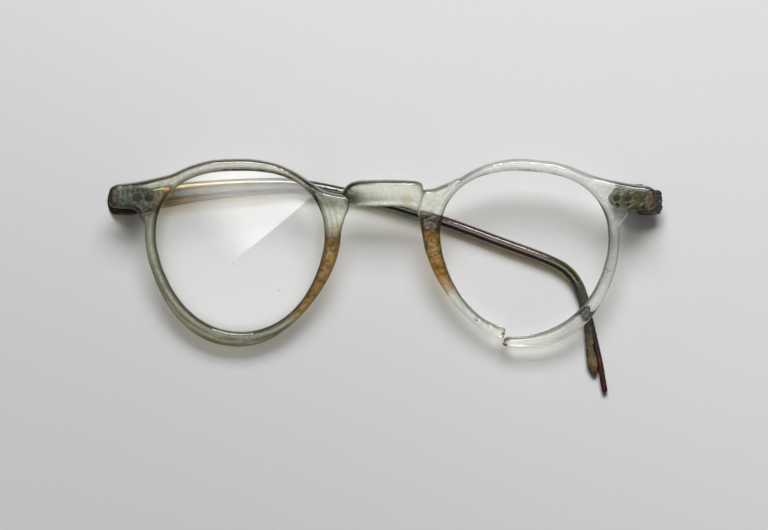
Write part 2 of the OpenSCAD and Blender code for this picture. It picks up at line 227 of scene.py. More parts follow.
# %% Table
paper = Finish("table_paper")
tooth = paper.noise(paper.mm, 0.9, 6.0, 0.7)
cloud = paper.noise(paper.mm, 45.0, 2.0)
fibre = paper.noise(paper.turned(paper.mm, (0, 0, 0), (0, 0, 0.5), (3.0, 0.6, 1.0)), 1.0, 3.0)
across, up_page, _ = paper.parts(paper.mm)
# Painted light: the paper is lighter towards the top and the right, as the window's light falls off.
shade = (up_page * 0.8 + across * 0.7).ramp(-95.0, 60.0)
sheet_colour = paper.painted(
    (186, 186, 187),
    (shade, (202, 202, 202)),
    (cloud * 0.25, (190, 190, 192)),
    (tooth.ramp(0.35, 0.75) * 0.1, (170, 170, 172)))
grain = paper.bump(tooth * 0.7 + fibre * 0.3, 0.05, 0.6)
paper.done({"Base Color": sheet_colour, "Roughness": 0.9, "Normal": grain, "Specular IOR Level": 0.2})

bpy.ops.mesh.primitive_plane_add(size=4.0)
table = bpy.context.object
table.name = "table"
table.data.materials.append(paper.material)


# %% Lamps
def panel(name, place, aim, size, watts, turn=0.0):
    """A soft rectangular lamp at a place, facing a point, turned about its own axis."""
    lamp = bpy.data.lights.new(name, "AREA")
    lamp.shape = "RECTANGLE"
    lamp.size, lamp.size_y = size
    lamp.energy = watts
    holder = bpy.data.objects.new(name, lamp)
    bpy.context.scene.collection.objects.link(holder)
    holder.location = place
    facing = (Vector(aim) - Vector(place)).to_track_quat("-Z", "Y")
    holder.rotation_euler = (facing @ Euler((0, 0, math.radians(turn))).to_quaternion()).to_euler()
    return holder


window = panel("window", (0.06, 0.95, 0.85), (0, 0, 0), (0.75, 0.5), 27.0)
window.visible_transmission = False
overhead = panel("overhead", (-0.02, -0.093, 1.6), (-0.02, -0.093, 0.0), (1.15, 0.7), 9.5, 40.5)
overhead.visible_diffuse = False

# %% The panel fades out along its width
overhead.data.use_nodes = True
glow = Graph(overhead.data.node_tree)
over_panel = glow.node("ShaderNodeNewGeometry", out="Parametric")
fade = glow.node("ShaderNodeSeparateXYZ", sockets={0: over_panel}).ramp(0.0, 0.38)
emission = next(node for node in glow.tree.nodes if node.type == "EMISSION")
glow.tree.links.new(fade.socket, emission.inputs["Strength"])

# %% The room: dim, but pale to the camera, so that a low view has no dark horizon
room = bpy.data.worlds.new("room")
room.use_nodes = True
sky = Graph(room.node_tree)
seen = sky.node("ShaderNodeLightPath", out="Is Camera Ray")
DIM, PALE = (0.13, 0.13, 0.132, 1.0), (0.62, 0.62, 0.62, 1.0)
sky_colour = sky.node("ShaderNodeMix", {"data_type": "RGBA"}, {0: seen, 6: DIM, 7: PALE}, out=2)
sky.tree.links.new(sky_colour.socket, sky.tree.nodes["Background"].inputs[0])
bpy.context.scene.world = room
bpy.context.scene.view_settings.view_transform = "Standard"
print("the room's nodes:", [node.name for node in sky.tree.nodes])

# %% [markdown]
# ## Shapes as distances
# Moulded plastic has no sharp corners and its parts melt into each other, which is awkward to build
# from faces. A distance field is easier: a formula says how far any point is from the surface, negative
# inside. Shapes join by taking the smaller distance, and a soft minimum gives a fillet for nothing.
# A surface net then wraps the zero level in even quads. The formulas below repeat the CAD outlines.


# %% Joining distances
def melt(first, second, reach):
    """The union of two distances, with a fillet about that wide."""
    share = np.clip(0.5 + 0.5 * (second - first) / reach, 0, 1)
    return second * (1 - share) + first * share - reach * share * (1 - share)


def slab(w, low, high):
    """Signed distance to the layer between two heights."""
    return np.abs(w - (high + low) / 2) - (high - low) / 2


def rounded(first, second, radius):
    """What two distances share, with a rounded edge where they meet."""
    a, b = first + radius, second + radius
    return np.minimum(np.maximum(a, b), 0) + np.hypot(np.maximum(a, 0), np.maximum(b, 0)) - radius


def carve(body, tool):
    """The body without the tool."""
    return np.maximum(body, -tool)


# %% Outlines and waves
def softened(points, times=2):
    """Cuts every corner of a closed outline, as sanding does."""
    points = np.array(points, float)
    for _ in range(times):
        following = np.roll(points, -1, axis=0)
        both = np.stack([points * 0.75 + following * 0.25, points * 0.25 + following * 0.75], axis=1)
        points = both.reshape(-1, 2)
    return points


def outline(points, u, v):
    """Signed distance to a closed outline."""
    nearest = np.full(np.broadcast(u, v).shape, 1e9)
    inside = np.zeros(nearest.shape, bool)
    for (u0, v0), (u1, v1) in zip(points, np.roll(points, -1, axis=0)):
        du, dv = u1 - u0, v1 - v0
        along = np.clip(((u - u0) * du + (v - v0) * dv) / (du * du + dv * dv), 0, 1)
        nearest = np.minimum(nearest, (u - u0 - du * along) ** 2 + (v - v0 - dv * along) ** 2)
        if dv:
            inside ^= ((v0 > v) != (v1 > v)) & (u < du * (v - v0) / dv + u0)
    return np.where(inside, -1, 1) * np.sqrt(nearest)


def wavering(u, v, w, size, seed):
    """Smooth random waves of about that size, mostly between -1 and 1."""
    rng = np.random.default_rng(seed)
    total = 0.0
    for _ in range(7):
        k = rng.normal(size=3)
        k *= 2 * math.pi / size * rng.uniform(0.6, 1.4) / np.linalg.norm(k)
        total = total + np.sin(u * k[0] + v * k[1] + w * k[2] + rng.uniform(0, 6.28))
    return total / 2.6


# %% Wrapping a surface net round a field
def surface_net(field, low, high, step):
    """Points and quads of the field's zero level inside a box."""
    axes = [np.arange(a, b + step, step) for a, b in zip(low, high)]
    values = field(*np.meshgrid(*axes, indexing="ij", sparse=True))
    shape = values.shape
    sums = np.zeros((3, values.size))
    count = np.zeros(values.size)
    quads = []
    for axis in range(3):
        before = np.take(values, range(shape[axis] - 1), axis)
        after = np.take(values, range(1, shape[axis]), axis)
        crossing = np.argwhere((before < 0) != (after < 0))
        b, a = before[tuple(crossing.T)], after[tuple(crossing.T)]
        points = crossing.astype(float)
        points[:, axis] += b / (b - a)
        corner_cells = []
        for one, two in ((0, 0), (1, 0), (1, 1), (0, 1)):
            cell = crossing.copy()
            cell[:, (axis + 1) % 3] -= one
            cell[:, (axis + 2) % 3] -= two
            flat = np.ravel_multi_index(tuple(cell.T), shape)
            corner_cells.append(flat)
            count += np.bincount(flat, minlength=values.size)
            for k in range(3):
                sums[k] += np.bincount(flat, points[:, k], values.size)
        ring = np.stack(corner_cells, axis=1)
        quads.append(np.where((b < 0)[:, None], ring, ring[:, ::-1]))
    used = np.flatnonzero(count)
    places = (sums[:, used] / count[used]).T * step + np.array([axis[0] for axis in axes])
    number = np.zeros(values.size, int)
    number[used] = np.arange(len(used))
    places = pulled_on(field, places)
    return places, number[np.concatenate(quads)]


def pulled_on(field, places, times=3, nudge=0.02, longest=0.1):
    """Moves points along the field's slope, in short steps, until they lie on its surface."""
    for _ in range(times):
        value = np.clip(field(*places.T), -longest, longest)
        slope = np.empty_like(places)
        for k in range(3):
            shift = np.zeros(3)
            shift[k] = nudge
            slope[:, k] = (field(*(places + shift).T) - field(*(places - shift).T)) / (2 * nudge)
        steep = np.maximum((slope ** 2).sum(1), 0.25)
        places = places - slope * (value * 0.8 / steep)[:, None]
    return places


# %% From arrays to a mesh
def mesh_piece(name, points, faces, materials, smooth_angle=None):
    """A mesh object from points in metres."""
    mesh = bpy.data.meshes.new(name)
    faces = faces.tolist() if isinstance(faces, np.ndarray) else faces
    mesh.from_pydata(np.asarray(points).tolist(), [], faces)
    mesh.validate()
    for material in materials:
        mesh.materials.append(material)
    mesh.shade_smooth()
    if smooth_angle:
        mesh.set_sharp_from_angle(angle=math.radians(smooth_angle))
    piece = bpy.data.objects.new(name, mesh)
    bpy.context.scene.collection.objects.link(piece)
    print(name, "has", len(mesh.vertices), "points and", len(mesh.polygons), "faces")
    return piece


# %% From the tilted front to the table
def front_direction(u, v, w):
    """A direction of the tilted front, in the whole object's frame."""
    return FRONT_TURN.to_matrix() @ Vector((u, v, w))


def on_table(u, v, w):
    """Points of the tilted front, in the whole object's metres."""
    turn = np.array(FRONT_TURN.to_matrix())
    return (np.stack([u, v, w], axis=-1) @ turn.T + np.array(FRONT_ORIGIN)) * MM


# %% [markdown]
# ## The plastic front
# The front is one moulding: two rims, two end pieces that carry the hinges, the webs beside the nose
# and a bridge that stands proud. Its left rim has snapped and sprung apart. The rims are rings whose
# radius and width change with the angle, so they are written in polar form. Angles start at the outer
# side and run over the brow side to the nose.

# %% The rim's rules
LENS_OFFSET = 32.25
FRONT_THICKNESS = 3.5
BREAK, NOSE_END = -103, 258  # degrees where the outer arm and the nose arm of the snapped rim stop


def opening(a):
    """Radius of the lens opening at an angle."""
    t = np.radians(a)
    return 19 + 0.4 * np.sin(t) + 0.95 * np.sin(3 * t) + 0.1 * np.cos(2 * t) - 0.27 * np.cos(4 * t)


def hump(a, centre, width):
    """1 at an angle, dying away to both sides."""
    return np.exp(-((np.mod(a, 360) - centre) / width) ** 2)


def band(a):
    """Width of the rim: heavy below and by the nose, light beside them."""
    heavy = 0.95 * hump(a, 285, 38) + 1.1 * hump(a, 178, 24)
    return 2.5 + heavy - 0.85 * hump(a, 132, 22) - 0.4 * hump(a, 230, 22)


def worn_band(a):
    """Width of the snapped rim's outer arm."""
    return band(a) - 1.3 * hump(a, 250, 32)


def nose_band(a):
    """Width of the snapped rim's nose arm."""
    return band(a) - 0.4 * hump(a, 250, 30)


def sprung(a):
    """How far the snapped rim has moved outwards at an angle from -180 to 180."""
    near_brow = -0.6 * np.sin(np.radians(180 * (95 - a) / 95))
    free_end = 0.5 * (1 - np.exp(np.minimum(a, 0) / 15)) + 1.45 * (np.maximum(-62 - a, 0) / 41) ** 2
    return np.where(a > 95, 0, np.where(a > 0, near_brow, free_end))


def round_lens(u, v, side):
    """Angle and radius about the middle of one lens opening."""
    x = side * u - LENS_OFFSET
    return np.degrees(np.arctan2(v, x)), np.hypot(x, v)


# %% End pieces, webs and bridge
def brow_edge(u):
    """Height of the brow line between a rim and its end piece."""
    t = (62 - u) / 24
    return 14.4 + 2.3 * t + 3.4 * t * t


def endpiece_points(droop):
    """Outline of an end piece, with its tip lowered by the droop."""
    brow = [(u, brow_edge(u) - droop) for u in range(38, 59, 4)]
    tip = [(61, 14.6), (62, 13.6), (62.2, 12), (62, 10.4), (61, 9.5), (57, 9.4)]
    fillet = [(57 - 1.8 * math.sin(t), 7.6 + 1.8 * math.cos(t)) for t in (0.39, 0.79, 1.18, 1.57)]
    lip = [(LENS_OFFSET + (opening(a) + 1.2) * math.cos(math.radians(a)),
            (opening(a) + 1.2) * math.sin(math.radians(a))) for a in range(12, 76, 9)]
    return brow + [(u, v - droop) for u, v in tip + fillet] + lip


RIGHT_WEB = [(16.2, 14.9), (14.7, 13.9), (13.1, 13.2), (10.8, 12.5), (8, 12.2), (7.4, 9.3), (8.3, 7.8),
             (9, 5.5), (9.5, 3.2), (10.1, 0), (11.6, -0.5), (12.2, 5), (13.4, 10), (15.2, 13.4)]
LEFT_WEB = [(17.6, 16.3), (15.3, 15.2), (13.2, 14.3), (11.2, 13.5), (9, 13.6), (7.8, 9), (8.4, 7),
            (8.8, 4.6), (9.4, 1), (10.1, -1), (11.6, -1), (12.2, 5), (13.4, 10), (15.2, 13.4)]
BRIDGE = [(-9.1, 12), (-8.7, 13.7), (-7.6, 15), (-5.5, 15.6), (-1.7, 15.8), (3, 15.8), (8.3, 15.5),
          (9.3, 14.6), (9.4, 12.5), (8.6, 9.3), (7.8, 8.6), (6.2, 9.5), (2.8, 10.1), (-4, 10.1),
          (-7, 9.6), (-8.6, 10.5)]
RIVETS = [(52.9, 11.9), (55.5, 11.9)]

# Small chips: along the snapped rim's inner lip, at its ends, and on an end piece.
CHIPS = [(21.6, -15.9, 3.7, 0.6), (24.4, -17.3, 3.7, 0.65), (25.9, -17.9, 3.6, 0.4), (28.2, -20.9, 3.4, 0.55),
         (61.7, 9.7, 3.3, 0.5), (34.6, -24.2, 3.5, 0.45), (-40.6, 21.6, 3.7, 0.4), (-11.6, -8.2, 3.6, 0.35)]
print("chips and pits:", len(CHIPS), "and", 2 * len(RIVETS))


# %% The front's outline
def right_side(u, v, a, r):
    """Signed distance to the sound side: rim, end piece and web. The lens opening is left out."""
    rim = np.maximum(r - opening(a) - band(a), opening(a) - r)
    side = melt(rim, outline(softened(endpiece_points(0)), -u, v), 0.9)
    return melt(side, outline(softened(RIGHT_WEB), -u, v), 0.8)


def left_side(u, v, a, r, inner, nose_inner):
    """Signed distance to the snapped side, whose two arms have their own inner edges."""
    b = np.mod(a, 360)
    outer_arm = np.maximum(r - inner - worn_band(a), inner - r)
    outer_arm = np.maximum(outer_arm, r * np.radians(BREAK - a))
    nose_arm = np.maximum(r - nose_inner - nose_band(b), nose_inner - r)
    nose_arm = np.maximum(nose_arm, r * np.radians(b - NOSE_END))
    side = melt(np.minimum(outer_arm, nose_arm), outline(softened(endpiece_points(0.4)), u, v), 0.9)
    return melt(side, outline(softened(LEFT_WEB), u, v), 0.8)


# %% The whole front as one field
def torn(body, u, v, w, a, r, inner):
    """The body with the two snapped ends torn instead of cut."""
    tear = 0.55 + 0.5 * wavering(u, v, w, 1.3, 11)
    apart = r - inner + 0.1
    outer_tear = np.maximum(np.maximum(-apart, r * np.radians(a - BREAK) - tear), r - 25.6)
    nose_tear = np.maximum(apart, -(r * np.radians(a + 360 - NOSE_END) + tear))
    return carve(carve(body, outer_tear), nose_tear)


def front_field(u, v, w):
    """Signed distance to the front, in its own millimetres: u across, v up the face, w forwards."""
    a_right, r_right = round_lens(u, v, -1)
    a_left, r_left = round_lens(u, v, 1)
    b_left = np.mod(a_left, 360)
    inner, nose_inner = opening(a_left) + sprung(a_left), opening(b_left) + sprung(b_left)
    sides = np.minimum(right_side(u, v, a_right, r_right), left_side(u, v, a_left, r_left, inner, nose_inner))
    uneven = 0.025 * wavering(u, v, w, 5.0, 3) + 0.008 * wavering(u, v, w, 1.1, 5)
    plate = rounded(sides, slab(w, 0.03, FRONT_THICKNESS), 0.85) + uneven
    crown = 4.3 - 0.035 * u * u / (1 + 0.02 * u * u)
    saddle = rounded(outline(softened(BRIDGE), u, v), slab(w, 0.3, crown), 1.1)
    body = melt(plate, saddle + uneven, 0.35)
    # The groove that holds a lens is a V cut round the inside of both rims.
    vee = 0.62 * (1 - np.abs(w - 1.75) / 0.55)
    body = carve(body, (r_right - opening(a_right) - vee) / 1.5)
    body = carve(body, (r_left - np.where(a_left > BREAK, inner, nose_inner) - vee) / 1.5)
    body = torn(body, u, v, w, a_left, r_left, inner)
    # Bevelled outer ends, pits where the rivet heads sink in, and chips.
    bevel = ((np.abs(u) - 62.2) * 3.5 - (w - 3.5) * 2.7) / 4.42
    body = rounded(body, bevel, 0.12)
    for ru, rv in RIVETS:
        body = carve(body, np.maximum(np.hypot(np.abs(u) - ru, v - rv) - 0.76, 2.9 - w))
    for cu, cv, cw, size in CHIPS:
        body = carve(body, np.sqrt((u - cu) ** 2 + (v - cv) ** 2 + (w - cw) ** 2) - size)
    return body


# %% [markdown]
# ## Aged clear plastic
# Old clear plastic is never quite clear: it yellows, stains amber and brown where skin touched it, and
# turns green near copper. It is also a little milky. A Principled shader with most of its light
# transmitted and the rest scattered gives that look, and the stains only change its colour. Lamps can't
# shine through a refracting surface, so shadow rays meet a plain tinted see-through side instead.
#
# Dirt and painted shade that follow the shape, such as the dirt along every lip and the dark outlines
# painted on the steep sides, are easier to work out with the mesh than in a shader. Five such masks are
# stored on the front's points, further down, and read here by name.

# %% The front's patterns
front = Finish("aged_clear_plastic")
here = front.on_front
grime, tear, amber_band, olive_with_groove_lines, painted_edge_shade = map(front.carried, ("grime", "torn", "amber", "olive", "edge"))
blotch = front.noise(here, 3.2, 5.0, 0.62)
fine = front.noise(here, 0.55, 4.0, 0.65)
shift = front.node("ShaderNodeTexNoise", sockets={"Vector": here, "Scale": 0.45, "Detail": 3.0}, out="Color")
wander = shift.vector("SUBTRACT", (0.5, 0.5, 0.5)).stretched(3.0)
loose = here.vector("ADD", wander)


def soft_patch(centre, size, turn=0.0, soft=0.15):
    """A blotchy patch: an ellipse with a wandering edge."""
    return front.spot(loose, (*centre, 1.75), (*size, 9.0), turn, soft)


def hairline(centre, length, turn, width):
    """A fine dark line in the plastic."""
    bent = here.vector("ADD", wander.stretched(0.12))
    return front.spot(bent, (*centre, 1.75), (length / 2, width, 9.0), turn, 0.1)


# %% Stains on the front, with a few painted shadows and painted shade: a colour, where it is, and how strong
across_front = front.parts(here)[0]
bleached = soft_patch((28, -20), (15, 7))
OLIVE, AMBER, BROWN, RIVET_SHADOW = (112, 110, 72), (190, 150, 78), (76, 52, 24), (44, 34, 18)
stains_and_shadows = [
    ((176, 182, 158), soft_patch((-50, 3), (6, 22), -8), 0.5),
    (AMBER, amber_band, 1.15),
    (BROWN, amber_band * front.noise(here, 1.9, 3.0, 0.6, 1.0).ramp(0.5, 0.64), 0.8),
    # Olive stain on the lensed rim, with painted rings for its groove's lines seen through the plastic.
    (OLIVE, olive_with_groove_lines, 1.0),
    # Painted shade: brown dark outlines on the rounded sides.
    ((124, 102, 54), painted_edge_shade, 0.85),
    (BROWN, soft_patch((11.0, 4.8), (4.5, 1.3), 8), 0.85),
    (BROWN, soft_patch((-10.6, 2.6), (3.6, 2.4), -20), 0.6),
    (BROWN, soft_patch((10.6, 7.6), (3.6, 0.9), -6), 0.55),
    (AMBER, soft_patch((5.4, 11.4), (1.9, 1.7)), 0.5),
    # Painted refraction: green in the left end of the bridge.
    ((150, 166, 130), soft_patch((-7.0, 12.6), (3.2, 3.2)), 1.0),
    ((150, 160, 120), soft_patch((-15, 9), (7, 8)), 0.3),
    ((150, 140, 82), soft_patch((57, 11), (9, 5)), 0.75),
    ((122, 128, 100), soft_patch((-56, 11.5), (10, 6)), 1.0),
    ((120, 156, 112), soft_patch((-58.2, 12.0), (1.3, 1.2)), 0.9),
    ((92, 70, 30), soft_patch((-48.6, 8.6), (2.0, 2.6), 20), 0.7),
    ((176, 128, 70), soft_patch((-48.8, 13.3), (1.7, 1.9)), 0.9),
    # Painted shadows of the two rivets, just below them.
    (RIVET_SHADOW, soft_patch((53.2, 10.5), (0.7, 0.8)), 0.9),
    (RIVET_SHADOW, soft_patch((55.8, 10.4), (0.8, 0.9)), 0.9),
    ((36, 28, 16), soft_patch((58.7, 11.4), (0.7, 0.6)), 1.0),
    # Painted shade along the bottom of the end piece that holds the stub.
    ((60, 44, 22), soft_patch((58.4, 9.6), (2.4, 0.8)), 0.9),
    # Painted shade: grey on the lower outer arm of the snapped rim, over its shadow.
    ((196, 197, 188), soft_patch((43, -18), (9, 6), 30), 0.6),
    ((232, 231, 218), bleached, 0.8),
]
haze = front.spot(here, (0.2, 12.8, 3.0), (9.0, 3.4, 9.0), soft=0.6)
streaks = front.noise(front.turned(here, (0, 0, 0), (0, 0, 0.05), (0.4, 3.5, 2.0)), 1.0, 4.0)
tint = front.painted(
    (229, 232, 223),
    (blotch.ramp(0.35, 0.7), (211, 215, 197)),
    (across_front.ramp(12.0, 24.0) * 0.7, (232, 235, 234)),
    (haze, front.painted((250, 251, 244), (streaks.ramp(0.35, 0.65), (222, 226, 206)))))
for mark_colour, where, strength in stains_and_shadows:
    share = where * blotch.ramp(0.2, 0.5, 0.6, 1.0) * strength
    tint = front.painted(tint, (share.math("MINIMUM", 1.0), mark_colour))
outer_tip = across_front.math("ABSOLUTE").ramp(59.2, 60.1)
tip_colour = front.painted(
    (112, 98, 48),
    (across_front.ramp(-5.0, 5.0), (150, 98, 40)),
    (front.noise(here, 1.1, 4.0).ramp(0.4, 0.65), (64, 48, 22)))
print("the front has", len(stains_and_shadows), "stains_and_shadows")

# %% Finish of the front: hairlines, specks, dirt and painted shade, and polish
HAIRLINES = [((25.0, 21.4), 2.6, 80, 0.17), ((26.3, 21.6), 3.0, 84, 0.2), ((27.4, 21.7), 2.2, 88, 0.17),
             ((51.2, -5.0), 2.4, 10, 0.14), ((10.9, 3.2), 4.4, 6, 0.16), ((11.4, 6.4), 4.0, -8, 0.14),
             ((10.6, 8.6), 3.2, 24, 0.12), ((9.9, 5.6), 3.4, 84, 0.12), ((12.6, 1.6), 3.0, 70, 0.12)]
lines = sum(hairline(*line) for line in HAIRLINES)
speck = front.noise(here, 0.32, 2.0).ramp(0.66, 0.72) * front.noise(here, 6.0, 2.0).ramp(0.5, 0.62)
tint = front.painted(
    tint,
    (outer_tip, tip_colour),
    (lines.math("MINIMUM", 1.0), (52, 26, 10)),
    (speck * 0.7, (84, 64, 36)),
    # Dirt along the lips, with painted shade on the steep sides as dark outlines.
    (grime * fine.ramp(0.25, 0.6, 0.55, 1.0), (54, 44, 24)),
    (tear.ramp(0.1, 0.6), front.painted((58, 32, 14), (fine.ramp(0.42, 0.56), (158, 104, 52)))))
scratches = front.noise(front.turned(here, (0, 0, 0), (0, 0, 0.6), (3.0, 0.16, 1.0)), 1.0, 3.0)
skin = fine * 0.6 + scratches * 0.4 + tear * fine * 2.0 + haze * streaks * 1.5
handled = front.noise(here, 7.0, 4.0).ramp(0.3, 0.7, 0.015, 0.07)
dull = handled + tear * 0.3 + grime * 0.1 + haze * 0.4 + bleached * 0.2 + outer_tip * 0.12
front.done({"Base Color": tint, "Roughness": dull, "Normal": front.bump(skin, 0.03, 0.5),
            "Transmission Weight": 0.97, "IOR": 1.49}, lets_light_through=(0.58, 0.58, 0.56))

# %% [markdown]
# ## Where dirt and painted shade lie
# Dirt gathers where a cloth can't reach, in the corner along each lip. The steep sides get painted shade,
# dark outlines like those a clear rim shows, and the rim that still has its lens gets olive rings, painted
# lines for its groove seen through the plastic, darker towards the bottom. Sweat has stained the two arms
# beside the nose. All this depends on the angle and radius round each opening and on how steep the
# surface is, which the mesh knows.

# %% Five masks from the shape
def between(x, low, high, soft):
    """1 from low to high, with soft ends."""
    return np.clip((x - low) / soft + 0.5, 0, 1) * np.clip((high - x) / soft + 0.5, 0, 1)


def front_masks(u, v, facing_up):
    """Five masks for points of the front, by name, from where they are and how much they face up."""
    lip = amber = olive = 0.0
    for side, amber_from, amber_to, dirt in ((-1, 170, 232, 0.95), (1, 164, 208, 0.5)):
        a, r = round_lens(u, v, side)
        depth = r - opening(a) - (np.where(a > BREAK, sprung(a), 0) if side > 0 else 0)
        b = np.mod(a, 360)
        at_lip = np.exp(-(depth / 0.45) ** 2) + 0.35 * np.exp(-((depth - 0.9) / 0.25) ** 2)
        lip = lip + at_lip * dirt
        amber = amber + between(b, amber_from, amber_to, 14) * between(depth, -0.6, 4.4, 0.5)
        if side < 0:
            # Painted lines: rings that stand in for the groove seen through the plastic, with the olive darker
            # towards the bottom.
            painted_groove_rings = 0.55 - 0.45 * np.cos(2 * math.pi * depth / 1.25)
            lower_half = 0.35 + 0.65 * between(b, 205, 345, 30)
            on_rim = between(depth, -0.6, 4.4, 0.5) * between(depth, -0.6, 3.6, 0.4)
            olive = (1 - 0.45 * amber) * on_rim * lower_half * painted_groove_rings
    flatness = np.abs(facing_up)
    clean = 0.5 * np.exp(-((u - 30) / 18) ** 2 - ((np.abs(v) - 20) / 9) ** 2)
    # Painted shade: steep sides darken into dark outlines, less on the snapped rim's middle.
    painted_wall_shade = np.clip((0.86 - flatness) / 0.26, 0, 1) * np.where((u < 8) | (u > 51), 1.0, 0.55) * (1 - clean)
    # Painted shade: rounded sides that don't face up turn brown, most from the bridge across the lensed side.
    edge = np.clip((0.985 - flatness) / 0.14, 0, 1) * np.where(u < 15, 1.0, 0.25)
    from_break = np.minimum(np.hypot(u - 27.3, v + 22.3), np.hypot(u - 28.3, v + 19.8))
    return {"grime": np.clip(lip + painted_wall_shade, 0, 1), "torn": np.exp(-(from_break / 1.1) ** 2),
            "amber": amber, "olive": olive, "edge": edge}


# %% Make the front
FRONT_STEP = 0.22
places, quads = surface_net(front_field, (-63.2, -25.8, -0.33), (63.2, 24.2, 4.77), FRONT_STEP)
front_shell = mesh_piece("front_shell", on_table(*places.T), quads, [front.material])
normals = np.empty(len(front_shell.data.vertices) * 3, np.float32)
front_shell.data.vertices.foreach_get("normal", normals)
facing_up = normals.reshape(-1, 3) @ np.array(front_direction(0, 0, 1))
for name, values in front_masks(places[:, 0], places[:, 1], facing_up).items():
    layer = front_shell.data.attributes.new(name, "FLOAT", "POINT")
    layer.data.foreach_set("value", values.astype(np.float32))
    print("mask", name, "covers", int((values > 0.5).sum()), "points")
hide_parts("front_frame")
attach(front_shell, "front")

# %% [markdown]
# ## The lens
# The lens that is left is ordinary ground glass, curved a little and bevelled round its edge to sit in
# the groove. It follows the same opening formula as the rim, so it is built as rings between a centre
# point on each face. A thin film of dust keeps it from being perfectly clear, thicker near the rim.

# %% Finish of the lens
glass = Finish("dusty_lens_glass")
centred = glass.turned(glass.on_front, (-LENS_OFFSET, 0, 0), (0, 0, 0), (1, 1, 1))
flat_place = centred.vector("MULTIPLY", (1.0, 1.0, 0.0))
edge_dirt = flat_place.vector("LENGTH", out=1).ramp(16.5, 20.0)
dust = glass.noise(centred, 0.5, 3.0).ramp(0.62, 0.74) * glass.noise(centred, 5.0, 2.0).ramp(0.4, 0.7)
DOTS = [((-1.7, -3.1), (0.26, 0.2)), ((8.7, -9.4), (0.24, 0.24)), ((2.5, 8.0), (0.16, 0.2)),
        ((-9.0, -6.0), (0.14, 0.16))]
dots = sum(glass.spot(centred, (*centre, 2.5), (*size, 9)) for centre, size in DOTS)
lens_tint = glass.painted(
    (250, 251, 250),
    (edge_dirt * 0.5 + dust * 0.12, (196, 194, 180)),
    (dots.math("MINIMUM", 1.0) * 0.7, (90, 80, 66)))
smear = glass.noise(glass.turned(centred, (0, 0, 0), (0, 0, 0.9), (9.0, 3.0, 4.0)), 1.0, 3.0)
glass.done({"Base Color": lens_tint, "Roughness": 0.01 + dust * 0.06 + smear.ramp(0.4, 0.8) * 0.02,
            "Transmission Weight": 0.985, "IOR": 1.52}, lets_light_through=(0.61, 0.61, 0.61))

# %% Make the lens
SIDES = 144
FRONT_RADIUS, MIDDLE_RADIUS, BACK_RADIUS = 111, 110, 109
EDGE_RADIUS = 19
SHARES = (0.12, 0.3, 0.5, 0.7, 0.85, 0.94, 1.0)
angles = np.arange(SIDES) * 360 / SIDES
round_about = np.radians(angles)
sphere_centre = FRONT_THICKNESS / 2 - math.sqrt(MIDDLE_RADIUS ** 2 - EDGE_RADIUS ** 2)
edge = opening(angles) - 0.06


def face_ring(share, radius):
    """A ring on a face of the lens, that share of the way out to its edge."""
    return edge * share, sphere_centre + np.sqrt(radius ** 2 - (edge * share) ** 2)


rings = [face_ring(share, FRONT_RADIUS) for share in SHARES]
rings += [(edge + further_out, np.full(SIDES, height))
          for further_out, height in ((0.02, 2.2), (0.5, 1.8), (0.5, 1.7), (0.02, 1.3))]
rings += [face_ring(share, BACK_RADIUS) for share in reversed(SHARES)]
stack = [np.stack((-LENS_OFFSET - radius * np.cos(round_about), radius * np.sin(round_about), height), axis=-1)
         for radius, height in rings]
stack += [[(-LENS_OFFSET, 0, sphere_centre + radius) for radius in (FRONT_RADIUS, BACK_RADIUS)]]
stack = np.concatenate(stack)
faces = []
for j in range(SIDES):
    k = (j + 1) % SIDES
    for i in range(len(rings) - 1):
        faces.append([i * SIDES + j, i * SIDES + k, (i + 1) * SIDES + k, (i + 1) * SIDES + j])
    last = (len(rings) - 1) * SIDES
    faces += [[len(stack) - 2, k, j], [len(stack) - 1, last + j, last + k]]
lens_pane = mesh_piece("lens_pane", on_table(*stack.T), faces, [glass.material], 30)
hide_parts("right_lens")
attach(lens_pane, "front")

# %% [markdown]
# ## A temple is a sweep
# A temple is a plastic sleeve drawn over a core wire, so both follow a path: a section, wide and flat at
# the hinge and round behind it, is carried along a curve that bends down behind the ear. That is a job
# for Geometry Nodes. The path is a line of points that carry their own half width, half thickness and
# twist. The tree smooths it, lays a grid round it, closes its ends and roughens it. One tree serves the
# sleeve and the wire.

